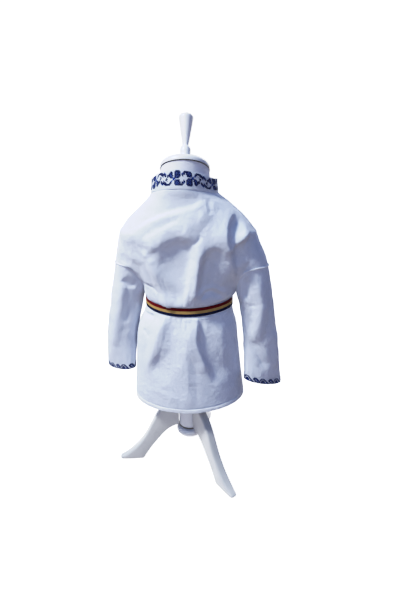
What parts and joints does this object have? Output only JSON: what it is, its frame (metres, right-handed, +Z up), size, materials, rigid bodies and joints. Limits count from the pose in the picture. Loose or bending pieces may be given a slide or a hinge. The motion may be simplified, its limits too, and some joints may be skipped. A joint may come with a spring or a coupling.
{
  "type": "romanian blouse on a limbless dress form",
  "caption": "Belted long-sleeved cotton ie blouse with a banded collar and cuffs, worn by a small limbless dress form on a three-legged turned stand.",
  "frame": {"origin": "on the floor, under the middle of the bounding box; the post's axis stands at x = -0.0025 m, y = -0.0196 m", "axes": "+Z up; +Y towards the wearer's front; +X towards the wearer's right; the view from behind looks along about +Y"},
  "size_m": [0.3688, 0.2728, 0.7059],
  "materials": {
    "cotton": "plain-woven bluish white cotton, matte",
    "embroidered_band": "white cotton band with navy and mid-blue cross-stitch",
    "ribbon": "woven ribbon in three equal stripes, crimson, golden yellow and navy",
    "form_cover": "greyish cream cloth stretched smooth over the form",
    "painted_wood": "turned and sawn wood, painted white, satin"
  },
  "bodies": {
    "root": {"back_panel": "cotton", "front_panel": "cotton", "sleeve_right": "cotton", "sleeve_left": "cotton", "cuff_right": "embroidered_band", "cuff_left": "embroidered_band", "collar": "embroidered_band", "belt": "ribbon", "form_body": "form_cover", "neck_cap": "painted_wood", "finial": "painted_wood", "post": "painted_wood", "post_end": "painted_wood", "leg_right_back": "painted_wood", "leg_left_back": "painted_wood", "leg_front": "painted_wood"}
  },
  "joints": []
}
